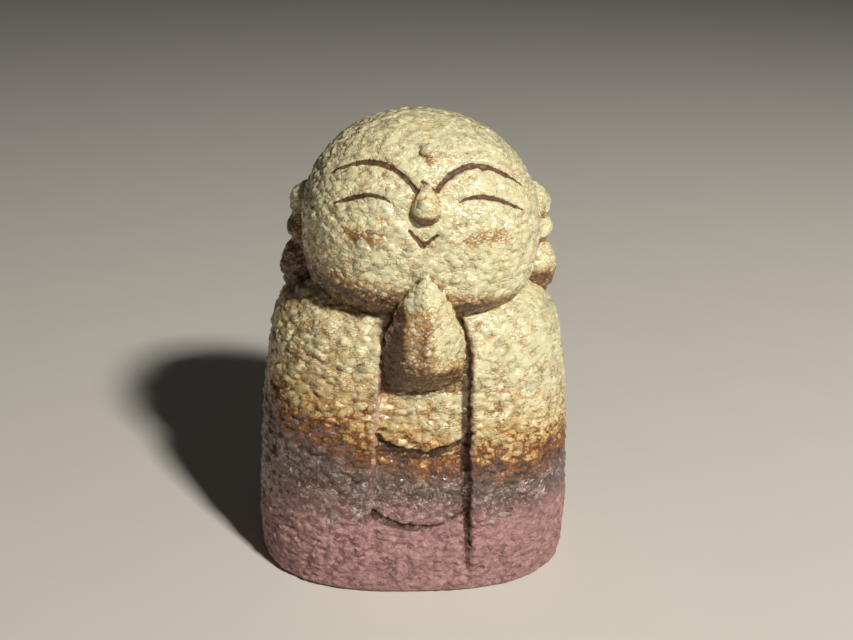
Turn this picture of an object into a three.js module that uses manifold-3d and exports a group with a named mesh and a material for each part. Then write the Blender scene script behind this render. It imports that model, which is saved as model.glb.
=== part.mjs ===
// Ceramic jizo figure: a small stoneware garden figure with its palms together, cast in one piece.
// Millimetres, +Z up. The figure faces -Y, and the origin is the middle of its foot.

import * as THREE from 'three';
import { mergeVertices } from 'three/addons/utils/BufferGeometryUtils.js';
import Module from 'manifold-3d';

// Body: a rounded block that narrows a little towards the shoulders.
const FOOT_HALF_WIDTH = 70;
const FOOT_HALF_DEPTH = 53;
const FOOT_ROUND = 2.6;
const FOOT_TUCK = 1.3;
const FOOT_TUCK_HEIGHT = 26;
const WIDTH_TAPER = 7.6;
const DEPTH_TAPER = 6;
const TAPER_HEIGHT = 106;
const SHOULDER_START = 104;
const SHOULDER_TOP = 138;
const SHOULDER_SQUARENESS = 2.6;
const FOOT_PLAN_SQUARENESS = 2.6;
const SHOULDER_PLAN_SQUARENESS = 2.6;

// Head: a wide ball that sits low in the shoulders, with full cheeks.
const HEAD_MIDDLE = new THREE.Vector3(0.6, -4, 157);
const HEAD_HALF_WIDTH = 49;
const HEAD_HALF_DEPTH = 46.5;
const CROWN_HEIGHT = 43;
const CROWN_LEAN = -1.2;
const CROWN_SQUARENESS = 1.95;
const JAW_DEPTH = 37.5;
const JAW_SQUARENESS = 3.4;
const HEAD_PLAN_SQUARENESS = 2.45;

// Opening of the robe, with the cloth hanging in tiers between its two long slanting edges.
const OPENING_HALF_WIDTH = 19;
const OPENING_SPREAD = 4.2;
const OPENING_DRIFT = 1.8;
const OPENING_EDGE_SLOPE = 0.4;
const OPENING_NECK_SHARE = 0.3;
const OPENING_TOP = 136;
const OPENING_WAIST = 108;
const OPENING_BOTTOM = 7.5;
const TIERS = [
  { hem: 68.2, hemRise: 8.3, recessTop: 4.6, recessHem: 3.6 },
  { hem: 32.9, hemRise: 9.2, recessTop: 7, recessHem: 3.2 },
  { hem: OPENING_BOTTOM, hemRise: 0, recessTop: 5.2, recessHem: 0.5 },
];
const HEM_STEP = 0.5;

// Hands: palms together as one drop with a keel down its front, cut away at the wrists.
const HANDS_X = 0.5;
const HANDS_BOTTOM = 94.5;
const HANDS_TIP = 146;
const HANDS_HALF_WIDTH = 16.6;
const HANDS_HALF_DEPTH = 12.5;
const HANDS_Y = -42;
const HANDS_LEAN = 10;
const HANDS_KEEL = 1.5;
const HANDS_FULLNESS = 2.8;
const HANDS_POINT = 0.8;
const HANDS_HEEL = 0.2;
const HANDS_HEEL_SQUARENESS = 4;
const HANDS_HEEL_RISE = 0.1;
const HANDS_BEVEL = 0.24;
const HANDS_BEVEL_DEPTH = 0.55;

// Ears: three rounded lobes down each side of the head, the lowest the longest, on a flat back.
const EARS_MIDDLE = 1.1;
const EAR_LOBES = [
  { x: 44.5, y: 5, z: 158.5, halfWidth: 10.8, halfDepth: 11.5, halfHeight: 9.6 },
  { x: 46.5, y: 3, z: 147.5, halfWidth: 10.2, halfDepth: 8.5, halfHeight: 7.4 },
  { x: 50.2, y: 3.5, z: 130, halfWidth: 10.2, halfDepth: 9.5, halfHeight: 13.5 },
  { x: 46.5, y: 9, z: 145, halfWidth: 8.8, halfDepth: 10, halfHeight: 23 },
];
const EAR_HOLLOW = { x: 58, y: 8, z: 150, halfWidth: 4.5, halfDepth: 4.5, halfHeight: 10 };

// Face, as places across (x) and up (z) on the front of the head.
const EYES = [
  { innerX: -13.2, innerZ: 173.9, outerX: -35.2, outerZ: 170.8, rise: 3.3 },
  { innerX: 12.5, innerZ: 174, outerX: 38.5, outerZ: 168.2, rise: 3.9 },
];
const BROWS = [
  { innerX: -3.5, innerZ: 177.7, outerX: -36.5, outerZ: 180.1, rise: 8 },
  { innerX: 4.3, innerZ: 178.4, outerX: 38.9, outerZ: 176.1, rise: 8.6 },
];
const EYE_CUT = 0.8;
const BROW_CUT = 1.15;
const MOUTH = {
  leftX: -6.2, leftZ: 164.3, rightX: 4.5, rightZ: 162.8, middleX: -0.9, middleZ: 158.3, cut: 1,
};
const NOSE = { x: 0, z: 173.8, halfWidth: 4.9, halfHeight: 7, height: 5, narrowing: 0.45 };
const BROW_SPOT = { x: 0.7, z: 190.5, radius: 2.2 };

const COLOUR_GLAZE = 0xd9c58c;

// How finely the round forms are divided.
const BODY_SIDES = 60;
const BODY_RING_GAP = 13;
const SHOULDER_RINGS = 9;
const CLOTH_COLUMNS = 12;
const CLOTH_ROW_GAP = 12;

const wasm = await Module();
wasm.setup();

const signedPower = (value, power) => Math.sign(value) * Math.abs(value) ** power;

// Closed geometry with its shared corners merged, as a solid.
function solid(geometry) {
  geometry.deleteAttribute('normal');
  geometry.deleteAttribute('uv');
  const merged = mergeVertices(geometry, 1e-4);
  return new wasm.Manifold(new wasm.Mesh({
    numProp: 3,
    vertProperties: new Float32Array(merged.attributes.position.array),
    triVerts: new Uint32Array(merged.index.array),
  }));
}

// Moves every corner of a geometry to where place(point) puts it.
function reshape(geometry, place) {
  const position = geometry.attributes.position;
  const point = new THREE.Vector3();
  for (let i = 0; i < position.count; i += 1) {
    point.fromBufferAttribute(position, i);
    place(point);
    position.setXYZ(i, point.x, point.y, point.z);
  }
  return geometry;
}

// Half width and half depth of the body at a height.
function bodyHalf(z) {
  const taper = (z / TAPER_HEIGHT) ** 2;
  const up = Math.max(0, (z - SHOULDER_START) / (SHOULDER_TOP - SHOULDER_START));
  const shoulder = Math.max(0, 1 - up ** SHOULDER_SQUARENESS) ** (1 / SHOULDER_SQUARENESS);
  const low = Math.max(0, 1 - z / FOOT_ROUND);
  const tuck = Math.max(0, 1 - z / FOOT_TUCK_HEIGHT) ** 2;
  const foot = FOOT_ROUND * (1 - Math.sqrt(1 - low * low)) + FOOT_TUCK * tuck;
  return {
    width: (FOOT_HALF_WIDTH - WIDTH_TAPER * taper) * shoulder - foot,
    depth: (FOOT_HALF_DEPTH - DEPTH_TAPER * taper) * shoulder - foot,
    squareness: THREE.MathUtils.lerp(
      FOOT_PLAN_SQUARENESS,
      SHOULDER_PLAN_SQUARENESS,
      Math.min(1, z / SHOULDER_START),
    ),
  };
}

// Front of the body at a place across and a height.
function bodyFront(x, z) {
  const half = bodyHalf(z);
  const across = Math.min(1, Math.abs(x) / half.width);
  return -half.depth * (1 - across ** half.squareness) ** (1 / half.squareness);
}

function bodySolid() {
  const heights = [0, 0.8, FOOT_ROUND];
  for (let z = BODY_RING_GAP; z < SHOULDER_START; z += BODY_RING_GAP) heights.push(z);
  for (let i = 1; i < SHOULDER_RINGS; i += 1) {
    const turn = (i / SHOULDER_RINGS) * Math.PI / 2;
    heights.push(SHOULDER_START + (SHOULDER_TOP - SHOULDER_START) * Math.sin(turn));
  }
  const profile = [new THREE.Vector2(0, 0)];
  for (const z of heights) profile.push(new THREE.Vector2(1, z));
  profile.push(new THREE.Vector2(0, SHOULDER_TOP));
  const block = new THREE.LatheGeometry(profile, BODY_SIDES);
  return solid(reshape(block, (p) => {
    const half = bodyHalf(p.y);
    const reach = Math.hypot(p.x, p.z);
    const across = reach > 0 ? p.x / reach : 0;
    const along = reach > 0 ? p.z / reach : 0;
    p.set(
      reach * half.width * signedPower(across, 2 / half.squareness),
      -reach * half.depth * signedPower(along, 2 / half.squareness),
      p.y,
    );
  }));
}

// Middle and half width of the robe's opening, in the body's outer face, at a height.
function openingAt(z) {
  const down = Math.max(0, (OPENING_WAIST - z) / OPENING_WAIST);
  const up = Math.max(0, (z - OPENING_WAIST) / (OPENING_TOP - OPENING_WAIST));
  return {
    middle: OPENING_DRIFT * Math.min(1, z / OPENING_WAIST),
    half: OPENING_HALF_WIDTH * (1 - (1 - OPENING_NECK_SHARE) * up * up) + OPENING_SPREAD * down,
  };
}

// Everything in front of the tiered cloth, to be cut from the body.
function openingSolid() {
  const rows = [];
  let top = OPENING_TOP;
  let topRise = 0;
  for (const tier of TIERS) {
    const steps = Math.ceil((top - tier.hem) / CLOTH_ROW_GAP);
    for (let i = 0; i <= steps; i += 1) {
      const down = i / steps;
      rows.push({
        z: THREE.MathUtils.lerp(top, tier.hem, down),
        rise: THREE.MathUtils.lerp(topRise, tier.hemRise, down),
        recess: tier.recessHem + (tier.recessTop - tier.recessHem) * (1 - down) ** 1.5,
      });
    }
    top = tier.hem - HEM_STEP;
    topRise = tier.hemRise;
  }
  rows.push({ z: OPENING_BOTTOM - 1, rise: 0, recess: -2 });
  rows.reverse();
  const levels = rows.length - 1;
  const front = -FOOT_HALF_DEPTH - 10;
  const block = new THREE.BoxGeometry(2, 1, 1, CLOTH_COLUMNS, 1, levels);
  return solid(reshape(block, (p) => {
    const row = rows[Math.round((p.z + 0.5) * levels)];
    const across = p.x;
    const z = row.z + row.rise * across * across;
    const { middle, half } = openingAt(z);
    const face = bodyFront(middle + across * half, z);
    const depth = p.y < 0 ? front - face : row.recess;
    p.set(middle + across * (half - OPENING_EDGE_SLOPE * depth), face + depth, z);
  }));
}

// Ball with its poles on Z.
function ball(around, up) {
  return new THREE.SphereGeometry(1, around, up).rotateX(Math.PI / 2);
}

// Height and squareness of the half of the head that a height above its middle lies in.
function headHalf(rise) {
  return rise < 0 ? [JAW_DEPTH, JAW_SQUARENESS] : [CROWN_HEIGHT, CROWN_SQUARENESS];
}

// Sideways lean of the crown, as a hand would leave it, at a height above the head's middle.
function crownLean(rise) {
  return CROWN_LEAN * (Math.max(0, rise) / CROWN_HEIGHT) ** 2;
}

// Point on the head's surface in a direction from its middle.
function headPoint(direction) {
  const [height, squareness] = headHalf(direction.z);
  const plan = (Math.abs(direction.x / HEAD_HALF_WIDTH) ** HEAD_PLAN_SQUARENESS
    + Math.abs(direction.y / HEAD_HALF_DEPTH) ** HEAD_PLAN_SQUARENESS) ** (1 / HEAD_PLAN_SQUARENESS);
  const sum = plan ** squareness + Math.abs(direction.z / height) ** squareness;
  const point = direction.clone().multiplyScalar(sum ** (-1 / squareness));
  point.x += crownLean(point.z);
  return point.add(HEAD_MIDDLE);
}

// Point on the front of the head at a place across and a height, pushed out by lift.
function facePoint(x, z, lift = 0) {
  const rise = z - HEAD_MIDDLE.z;
  const [height, squareness] = headHalf(rise);
  const ring = (1 - Math.abs(rise / height) ** squareness) ** (1 / squareness);
  const across = Math.abs((x - HEAD_MIDDLE.x - crownLean(rise)) / HEAD_HALF_WIDTH);
  const left = ring ** HEAD_PLAN_SQUARENESS - across ** HEAD_PLAN_SQUARENESS;
  const y = HEAD_MIDDLE.y - HEAD_HALF_DEPTH * Math.max(0, left) ** (1 / HEAD_PLAN_SQUARENESS);
  const point = new THREE.Vector3(x, y, z);
  const out = point.clone().sub(HEAD_MIDDLE).normalize();
  return point.addScaledVector(out, lift);
}

function headSolid() {
  return solid(reshape(ball(50, 30), (p) => p.copy(headPoint(p))));
}

function handsSolid() {
  return solid(reshape(ball(28, 18), (p) => {
    const up = (p.z + 1) / 2;
    const ring = Math.sqrt(Math.max(1e-9, 1 - p.z * p.z));
    const taper = (1 - up ** HANDS_FULLNESS) ** HANDS_POINT;
    const low = Math.max(0, 1 - up / HANDS_HEEL);
    const heel = (1 - low ** HANDS_HEEL_SQUARENESS) ** (1 / HANDS_HEEL_SQUARENESS);
    const across = p.x / ring;
    const along = p.y / ring;
    const power = along < 0 ? 2 / HANDS_KEEL : 1;
    const bevel = along < 0 ? 1 - HANDS_BEVEL_DEPTH * Math.max(0, 1 - up / HANDS_BEVEL) : 1;
    const x = HANDS_HALF_WIDTH * taper * heel * signedPower(across, power);
    const reach = HANDS_HALF_DEPTH * taper * heel * bevel;
    p.set(
      HANDS_X + x,
      HANDS_Y - HANDS_LEAN * up + reach * signedPower(along, power),
      HANDS_BOTTOM + (HANDS_TIP - HANDS_BOTTOM) * up + HANDS_HEEL_RISE * x * (1 - up),
    );
  }));
}

// Ball stretched to a bump's half sizes, at its place on one side of the head.
function earBump(side, bump, around, up) {
  const stretched = ball(around, up);
  stretched.scale(bump.halfWidth, bump.halfDepth, bump.halfHeight);
  stretched.translate(EARS_MIDDLE + side * bump.x, bump.y, bump.z);
  return solid(stretched);
}

function earSolid(side) {
  const lobes = EAR_LOBES.map((lobe) => earBump(side, lobe, 16, 10));
  const ear = lobes.reduce((joined, lobe) => joined.add(lobe));
  return ear.subtract(earBump(side, EAR_HOLLOW, 12, 8));
}

// Round cutter that follows points on the face.
function groove(points, radius, steps) {
  const section = new THREE.Shape();
  section.absarc(0, 0, radius, 0, Math.PI * 2);
  const path = new THREE.CatmullRomCurve3(points);
  return solid(new THREE.ExtrudeGeometry(section, {
    steps, curveSegments: 4, bevelEnabled: false, extrudePath: path,
  }));
}

// Arched line on one side of the face: a closed eye or a brow, steeper beside the nose.
function arch(line, radius) {
  const points = [];
  const count = 9;
  for (let i = 0; i < count; i += 1) {
    const t = i / (count - 1);
    const bow = Math.sin(Math.PI * t ** 0.85) ** 0.9;
    const x = THREE.MathUtils.lerp(line.innerX, line.outerX, t);
    const z = THREE.MathUtils.lerp(line.innerZ, line.outerZ, t) + line.rise * bow;
    points.push(facePoint(x, z));
  }
  return groove(points, radius, 14);
}

function mouthGroove(cornerX, cornerZ) {
  return groove([
    facePoint(cornerX, cornerZ),
    facePoint((cornerX + MOUTH.middleX) / 2, (cornerZ + MOUTH.middleZ) / 2),
    facePoint(MOUTH.middleX, MOUTH.middleZ),
  ], MOUTH.cut, 4);
}

// Pear-shaped nose that follows the slope of the face.
function noseSolid() {
  const drop = ball(16, 12);
  return solid(reshape(drop, (p) => {
    const narrow = 1 - NOSE.narrowing * p.z;
    p.copy(facePoint(
      NOSE.x + NOSE.halfWidth * p.x * narrow,
      NOSE.z + NOSE.halfHeight * p.z,
      -NOSE.height * p.y * narrow,
    ));
  }));
}

function browSpotSolid() {
  const place = facePoint(BROW_SPOT.x, BROW_SPOT.z);
  const spot = ball(10, 7);
  spot.scale(BROW_SPOT.radius, BROW_SPOT.radius, BROW_SPOT.radius);
  spot.translate(place.x, place.y, place.z);
  return solid(spot);
}

function figureSolid() {
  let figure = bodySolid().subtract(openingSolid());
  for (const piece of [headSolid(), handsSolid(), earSolid(1), earSolid(-1)]) figure = figure.add(piece);
  for (const eye of EYES) figure = figure.subtract(arch(eye, EYE_CUT));
  for (const brow of BROWS) figure = figure.subtract(arch(brow, BROW_CUT));
  figure = figure.subtract(mouthGroove(MOUTH.leftX, MOUTH.leftZ));
  figure = figure.subtract(mouthGroove(MOUTH.rightX, MOUTH.rightZ));
  return figure.add(noseSolid()).add(browSpotSolid());
}

function geometryOf(body) {
  const mesh = body.getMesh();
  const geometry = new THREE.BufferGeometry();
  geometry.setAttribute('position', new THREE.BufferAttribute(mesh.vertProperties, 3));
  geometry.setIndex(new THREE.BufferAttribute(mesh.triVerts, 1));
  geometry.computeVertexNormals();
  return geometry;
}

const figure = new THREE.Mesh(
  geometryOf(figureSolid()),
  new THREE.MeshStandardMaterial({ color: COLOUR_GLAZE, roughness: 0.45, metalness: 0 }),
);
figure.name = 'jizo_figure';

const group = new THREE.Group();
group.name = 'ceramic_jizo';
group.add(figure);

export default group;
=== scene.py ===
"""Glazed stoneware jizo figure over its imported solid, with its floor, lights and camera."""
import math

import bpy
import numpy as np
from bpy.props import FloatProperty, FloatVectorProperty, IntProperty, PointerProperty
from mathutils import Matrix, Vector


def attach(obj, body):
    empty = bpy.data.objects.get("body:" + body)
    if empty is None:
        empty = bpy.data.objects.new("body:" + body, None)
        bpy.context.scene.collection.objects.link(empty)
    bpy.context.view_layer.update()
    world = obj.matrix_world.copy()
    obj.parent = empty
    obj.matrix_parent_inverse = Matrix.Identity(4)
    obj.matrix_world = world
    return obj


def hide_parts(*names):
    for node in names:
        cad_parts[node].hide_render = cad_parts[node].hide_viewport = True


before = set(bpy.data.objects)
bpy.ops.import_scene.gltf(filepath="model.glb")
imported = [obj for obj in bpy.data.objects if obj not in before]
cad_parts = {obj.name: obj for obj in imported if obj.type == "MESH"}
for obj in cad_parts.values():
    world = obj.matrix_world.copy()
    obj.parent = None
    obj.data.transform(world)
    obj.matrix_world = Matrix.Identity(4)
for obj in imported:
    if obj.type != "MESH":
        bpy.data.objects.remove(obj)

bl_info = {
    "name": "Ceramic jizo figure",
    "version": (1, 0, 0),
    "blender": (4, 5, 0),
    "location": "3D View > Sidebar > Jizo",
    "description": "Models a small glazed stoneware jizo and the stage that it is shown on",
    "category": "Object",
}

MM = 0.001

# The body: foot, tapering sides and rounded shoulders, in millimetres.
FOOT_ROUND = 2.6
FOOT_TUCK = 1.3
FOOT_TUCK_HEIGHT = 26.0
WIDTH_TAPER = 7.6
DEPTH_TAPER = 6.0
TAPER_HEIGHT = 106.0
SHOULDER_START = 104.0
SHOULDER_TOP = 138.0
SHOULDER_SQUARENESS = 2.6
FOOT_PLAN_SQUARENESS = 2.6
SHOULDER_PLAN_SQUARENESS = 2.6

# The robe's opening down the front, and the three tiers of cloth inside it. A tier's shade
# is how far below its hem the painted shade under it reaches.
OPENING_HALF_WIDTH = 19.0
OPENING_SPREAD = 4.2
OPENING_DRIFT = 1.8
OPENING_EDGE_SLOPE = 0.27
OPENING_NECK_SHARE = 0.3
OPENING_TOP = 136.0
OPENING_WAIST = 108.0
OPENING_BOTTOM = 7.5
TIERS = (
    {"hem": 68.2, "rise": 8.3, "recess_top": 4.6, "recess_hem": 3.6, "shade": 6.6},
    {"hem": 32.9, "rise": 9.2, "recess_top": 7.0, "recess_hem": 3.2, "shade": 4.0},
    {"hem": 7.5, "rise": 0.0, "recess_top": 5.2, "recess_hem": 0.5},
)
HEM_HALF_STEP = 0.5
CLOTH_SAG = 1.5
CLOTH_SILL = 1.5
WALL_SHARPNESS = 5.5
CUT_ROUNDING = 0.8

# The head.
HEAD_MIDDLE = (0.6, -4.0, 157.0)
CROWN_HEIGHT = 43.0
CROWN_LEAN = -1.2
CROWN_SQUARENESS = 1.95
JAW_DEPTH = 37.5
JAW_SQUARENESS = 3.4
HEAD_PLAN_SQUARENESS = 2.45

# Hands held together in front of the chest.
HANDS_X = 0.5
HANDS_BOTTOM = 94.5
HANDS_TIP = 146.0
HANDS_HALF_WIDTH = 16.6
HANDS_HALF_DEPTH = 12.5
HANDS_Y = -42.0
HANDS_LEAN = 10.0
HANDS_KEEL = 1.5
HANDS_FULLNESS = 2.8
HANDS_POINT = 0.8
HANDS_HEEL = 0.2
HANDS_HEEL_SQUARENESS = 4.0
HANDS_HEEL_RISE = 0.1
HANDS_BEVEL = 0.24
HANDS_BEVEL_DEPTH = 0.55

# Each ear is four lobes run together: across, along, up, and their half sizes. Brown and
# painted shade lie in the notches between them, at these heights and this tall, and brown below the
# ears' foot.
EARS_MIDDLE = 1.1
EAR_LOBES = (
    (44.5, 5.0, 159.3, 10.8, 11.5, 8.8),
    (46.5, 3.0, 149.2, 10.2, 8.5, 6.8),
    (49.2, 3.5, 131.6, 10.0, 9.5, 13.8),
    (47.6, 5.0, 145.0, 7.3, 8.5, 23.5),
)
EAR_NOTCHES = ((155.6, 1.5), (144.8, 1.8))
EAR_FOOT = 132.0

# Carved lines: inner end, outer end and how far the line rises between them.
EYES = ((-13.2, 173.9, -35.2, 170.8, 3.3), (12.5, 174.0, 38.5, 168.2, 3.9))
BROWS = ((-3.5, 177.7, -36.5, 180.1, 8.0), (4.3, 178.4, 38.9, 176.1, 8.6))
BROW_LINK = ((-1.5, 181.5), (0.4, 180.4), (2.2, 179.2), (4.3, 178.4))
MOUTH_LEFT = ((-6.2, 164.3), (-0.9, 158.3))
MOUTH_RIGHT = ((4.5, 162.8), (-0.9, 158.3))
NOSE = (0.0, 173.8, 4.9, 7.0, 5.0)
NOSE_NARROWING = 0.45
BROW_SPOT = (0.7, 190.5, 3.0)

# Half widths of the cut lines. The finer ones also say how deep they are against an eye.
BROW_HALF_WIDTH = 2.2
EYE_HALF_WIDTH = 1.6
BROW_LINK_CUT = (0.8, 1.0)
MOUTH_LEFT_CUT = (1.4, 1.9)
MOUTH_RIGHT_CUT = (1.1, 1.3)
INK_SHARE = 0.62
INK_SOFTNESS = 4.0

# The brown of the cheeks: place, how wide and tall, and how strong.
CHEEKS = ((-24.0, 161.0, 0.84), (24.0, 160.2, 0.70))
CHEEK_BLUSH = (9.0, 3.6)

# The pressed marks of the clay: how steep a facet's edges are, how flat its middle, how
# much smaller the marks of the skin are than those of the robe, and what counts as level.
FACET_STEEPNESS = 1.0
FACET_FLATNESS = 1.15
SKIN_MARK_WIDTH = 0.62
SKIN_MARK_HEIGHT = 0.75
FACET_LEVEL = 0.12
CREASE_WIDTH = 0.10

# Half sizes of the space that counts as skin.
SKIN_SPACE = (62.0, 49.0, 42.0)

# Fine noise of the glaze: lumps to the metre, detail and roughness.
GRAINS = {
    "broad": (55.0, 3.0, 0.5), "patch": (240.0, 3.0, 0.6), "speck": (1100.0, 2.0, 0.6),
    "broken": (170.0, 2.0, 0.5), "grit": (1700.0, 3.0, 0.65), "floor": (18.0, 3.0, 0.5),
    "stroke": (140.0, 3.0, 0.55), "fine stroke": (310.0, 2.0, 0.5),
}

# Cells of the pressed clay: how many to the metre, and how far they wander in metres.
ROBE_CELLS = (215.0, 0.0034)
SKIN_CELLS = (350.0, 0.0022)

# Each mark of the glaze: the sums between which it sets in, and what each field adds to one.
# Shaded is painted shade and the silver glints a painted highlight; brown, dark, pit, sooty and the
# ochre stain also carry the painted shade in their fields.
GLAZE_MARKS = {
    "pit": ((0.38, 0.68), {"crease": 0.55, "speck": 1.5, "patch": 0.9, "skin": 0.05}),
    "brown": ((0.38, 0.80), {"iron_and_shade": 1, "patch": 2.0, "speck": 1.7, "crease": 0.35, "gap": 0.25}),
    "golden": ((-0.2, 0.4), {"patch": 1.6, "speck": 2.2}),
    "dark": ((0.80, 1.25), {"iron_and_shade": 1, "patch": 0.9, "speck": 0.5, "crease": 0.3, "gap": 0.2}),
    "worn": ((0.30, 1.0), {"border": 1, "patch": 1.2, "speck": 0.8}),
    "shaded": ((0.25, 0.70), {"shade": 1, "patch": 0.4}),
    "inked": ((0.45, 0.53), {"carved": 1, "speck": 0.14}),
    "sooty": ((0.15, 0.8), {"crease": 0.6, "gap": 0.45, "patch": 0.8}),
    "painted_glint": ((0.62, 1.05), {"own": 1, "patch": 2.2, "speck": 2.6}),
    "dusty": ((0.0, 0.5), {"patch": 1.2, "speck": 1.4, "broad": 0.5}),
}

# Where the colours of the glaze lie, from 60 mm below the firing line to 60 mm above it.
BAND_REACH = 60.0
BAND_STOPS = (
    (0.00, "clay"), (0.25, "clay"), (0.32, "mauve"), (0.36, "smoke"), (0.39, "smoke"),
    (0.43, "rust"), (0.475, "rust"), (0.505, "ochre"), (0.53, "straw"), (0.575, "cream"),
    (1.00, "cream"),
)

# The stage, in metres. Each light has a place, a size and a colour.
LIGHTS = {
    "key_light": ((0.82, -1.20, 1.46), 0.20, (1.0, 0.965, 0.90)),
    "fill_light": ((-1.1, -0.9, 0.7), 1.2, (1.0, 0.95, 0.86)),
}
LIGHTS_AIM = (0.0, 0.0, 0.1)
ROOM_COLOUR = (1.0, 0.95, 0.88, 1.0)
FLOOR_SIZE = 12.0


def held(value):
    """A value kept from falling below 0 or rising above 1."""
    return np.clip(value, 0.0, 1.0)


def smooth_step(low, high, value):
    """0 below low, 1 above high, and a soft rise between them."""
    share = held((value - low) / (high - low))
    return share * share * (3.0 - 2.0 * share)


def mix(a, b, share):
    return a + (b - a) * share


def signed_power(value, power):
    return np.sign(value) * np.abs(value) ** power


# What a user can set.

def length(name, description, default, low, high):
    return FloatProperty(
        name=name, description=description, default=default, min=low, max=high,
        unit="LENGTH", subtype="DISTANCE",
    )


class JizoSizes(bpy.types.PropertyGroup):
    foot_half_width: length("Foot half width", "Half the width of the foot", 0.070, 0.03, 0.2)
    foot_half_depth: length("Foot half depth", "Half the depth of the foot", 0.053, 0.02, 0.2)
    head_half_width: length(
        "Head half width", "Half the width of the head, without its ears", 0.049, 0.02, 0.2,
    )
    head_half_depth: length("Head half depth", "Half the depth of the head", 0.0465, 0.02, 0.2)
    clay_grain: length(
        "Clay grain", "Edge of the squares that the clay is laid out in", 0.0005, 0.0003, 0.003,
    )
    pebble_width: length(
        "Pebble width", "Width of one pressed mark on the robe", 0.0045, 0.001, 0.02,
    )
    pebble_height: length(
        "Pebble height", "Height of one pressed mark on the robe", 0.0026, 0.001, 0.02,
    )
    pebble_depth: length("Pebble depth", "How deep the marks are pressed", 0.0016, 0.0, 0.005)
    brow_depth: length("Brow depth", "Depth of the carved brows", 0.0015, 0.0, 0.005)
    eye_depth: length("Eye depth", "Depth of the carved eyes and mouth", 0.0011, 0.0, 0.005)
    faces: IntProperty(
        name="Faces", description="Most triangles that the finished figure may have",
        default=194000, min=20000, max=199000,
    )


def tint(name, description, screen):
    """A colour that a user can pick, kept in linear light."""
    return FloatVectorProperty(
        name=name, description=description, default=linear(screen),
        min=0.0, max=1.0, size=3, subtype="COLOR",
    )


def linear(screen):
    """Linear colour of an 8-bit screen colour."""
    out = []
    for channel in screen:
        share = channel / 255.0
        out.append(share / 12.92 if share <= 0.04045 else ((share + 0.055) / 1.055) ** 2.4)
    return tuple(out)


class JizoGlaze(bpy.types.PropertyGroup):
    cream: tint("Cream", "Ash glaze where it lies thick", (219, 212, 171))
    straw: tint("Straw", "Ash glaze where it thins", (208, 186, 126))
    ochre: tint("Ochre", "Glaze in the marks of the clay", (191, 148, 83))
    rust: tint("Rust", "Iron where the glaze ends", (134, 82, 44))
    # Silver is painted on the dark band's facets as glints: a painted highlight.
    silver: tint("Silver", "Glints in the dark band", (206, 188, 176))
    smoke: tint("Smoke", "Dark band below the rust", (120, 101, 93))
    mauve: tint("Mauve", "Between the dark band and the bare clay", (134, 104, 97))
    clay: tint("Clay", "Pink bare clay of the foot", (175, 132, 129))
    # Umber is also painted shade: under the hems, by the opening's right edge, and on the
    # undersides and shaded sides of the face, hands and ears.
    umber: tint("Umber", "Iron brown in hollows and undersides", (74, 44, 22))
    firing_line: length(
        "Firing line", "Height at which the glaze turns to rust in the middle of the front",
        0.063, 0.0, 0.2,
    )


def angle(name, description, degrees):
    return FloatProperty(
        name=name, description=description, default=math.radians(degrees), subtype="ANGLE",
        unit="ROTATION",
    )


class JizoStage(bpy.types.PropertyGroup):
    focal_length: FloatProperty(
        name="Focal length", description="Focal length of the camera's lens in millimetres",
        default=46.8, min=10.0, max=200.0,
    )
    camera_place: FloatVectorProperty(
        name="Camera place", description="Where the camera stands",
        default=(-0.02676, -0.4472, 0.297), size=3, unit="LENGTH", subtype="TRANSLATION",
    )
    camera_azimuth: angle("Camera azimuth", "Turn of the camera to the side", -4.0)
    camera_pitch: angle("Camera pitch", "How far the camera looks down", 23.0)
    camera_roll: angle("Camera roll", "Tilt of the camera about its own line of sight", 1.5)
    key_power: FloatProperty(
        name="Key light", description="Power of the main light", default=48.0, min=0.0,
    )
    fill_power: FloatProperty(
        name="Fill light", description="Power of the soft fill", default=0.12, min=0.0,
    )
    room_light: FloatProperty(
        name="Room light", description="Strength of the pale surroundings", default=0.035, min=0.0,
    )
    floor_colour: tint("Floor", "Colour of the plain floor", (214, 210, 202))


# Helpers for meshes.

def clear_selection():
    """Deselects everything, because a loaded frame arrives selected."""
    if bpy.context.object and bpy.context.object.mode != "OBJECT":
        bpy.ops.object.mode_set(mode="OBJECT")
    bpy.ops.object.select_all(action="DESELECT")


def pick(*objects):
    clear_selection()
    for thing in objects:
        thing.select_set(True)
    bpy.context.view_layer.objects.active = objects[0]


def points_of(thing):
    """Corner positions of a mesh in millimetres."""
    flat = np.empty(len(thing.data.vertices) * 3)
    thing.data.vertices.foreach_get("co", flat)
    return flat.reshape(-1, 3) / MM


def normals_of(thing):
    flat = np.empty(len(thing.data.vertices) * 3, dtype=np.float32)
    thing.data.vertex_normals.foreach_get("vector", flat)
    return flat.reshape(-1, 3).astype(float)


def move_points(thing, points):
    """Puts a mesh's corners at these places, given in millimetres."""
    thing.data.vertices.foreach_set("co", np.ascontiguousarray(points * MM, dtype=float).ravel())
    thing.data.update()


def apply_modifier(thing, kind, settings):
    """Adds a modifier with these settings and applies it."""
    pick(thing)
    modifier = thing.modifiers.new(kind.title(), kind)
    for name, value in settings.items():
        setattr(modifier, name, value)
    bpy.ops.object.modifier_apply(modifier=modifier.name)


def add_ball(name, around, rings, finer=0):
    """Unit ball with its poles on Z, to be shaped. Finer splits each face in four so many times."""
    clear_selection()
    bpy.ops.mesh.primitive_uv_sphere_add(segments=around, ring_count=rings, location=(0, 0, 0))
    ball = bpy.context.object
    ball.name = name
    if finer:
        apply_modifier(ball, "SUBSURF", {
            "subdivision_type": "SIMPLE", "levels": finer, "render_levels": finer,
        })
    unit = points_of(ball) * MM
    return ball, unit / np.linalg.norm(unit, axis=1)[:, None]


# Body and robe.

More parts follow.
